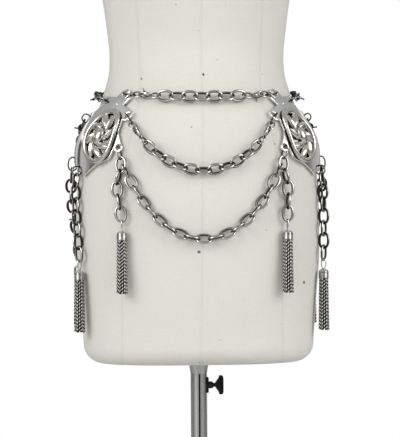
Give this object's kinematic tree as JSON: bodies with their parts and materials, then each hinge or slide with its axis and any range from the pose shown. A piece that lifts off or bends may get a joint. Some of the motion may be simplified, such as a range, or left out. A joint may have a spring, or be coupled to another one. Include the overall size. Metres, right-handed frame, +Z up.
{
  "type": "metal chain belt on a limbless dress form with a pole stand",
  "caption": "Metal chain belt of hip plates, swagged chains and chain tassels, worn on a limbless dress form that slides and turns on its pole stand.",
  "frame": {"origin": "centre of the base's underside, on the pole's axis", "axes": "+Z up along the pole, -Y towards the form's front, +X towards the picture's right"},
  "size_m": [0.4, 0.4, 1.5719],
  "materials": {
    "antiqued_silver": "burnished silver plate with dark recesses",
    "bright_silver": "polished silver plate",
    "brushed_steel": "satin",
    "black_metal": "satin black",
    "painted_cast_iron": "satin black paint",
    "linen": "ivory linen cover, fine weave",
    "turned_wood": "waxed"
  },
  "bodies": {
    "stand": {"base": "painted_cast_iron", "pole": "brushed_steel"},
    "collar": {"collar": "brushed_steel"},
    "knob": {"clamp_knob": "black_metal"},
    "form": {"arm_plate_left": "linen", "arm_plate_right": "linen", "back_drop_left": "antiqued_silver", "back_drop_right": "antiqued_silver", "back_drop_tassel_left": "bright_silver", "back_drop_tassel_right": "bright_silver", "back_lower_swag": "antiqued_silver", "back_upper_swag": "antiqued_silver", "back_waist_chain": "antiqued_silver", "front_lower_swag": "antiqued_silver", "front_upper_swag": "antiqued_silver", "front_waist_chain": "antiqued_silver", "hip_plate_left": "bright_silver", "hip_plate_right": "bright_silver", "inner_drop_left": "antiqued_silver", "inner_drop_right": "antiqued_silver", "inner_drop_tassel_left": "bright_silver", "inner_drop_tassel_right": "bright_silver", "neck_cap": "turned_wood", "ornament_left": "antiqued_silver", "ornament_right": "antiqued_silver", "outer_drop_left": "antiqued_silver", "outer_drop_right": "antiqued_silver", "outer_drop_tassel_left": "bright_silver", "outer_drop_tassel_right": "bright_silver", "torso": "linen"}
  },
  "joints": [
    {"name": "height_slide", "type": "slide", "parent": "stand", "child": "collar", "axis": [0, 0, 1], "range_m": [-0.1, 0.15]},
    {"name": "form_turn", "type": "hinge", "parent": "collar", "child": "form", "pos_m": [0, 0, 0.634], "axis": [0, 0, 1], "continuous": true},
    {"name": "knob_turn", "type": "hinge", "parent": "collar", "child": "knob", "pos_m": [0.012, 0, 0.6006], "axis": [1, 0, 0], "range_deg": [0, 360]}
  ]
}
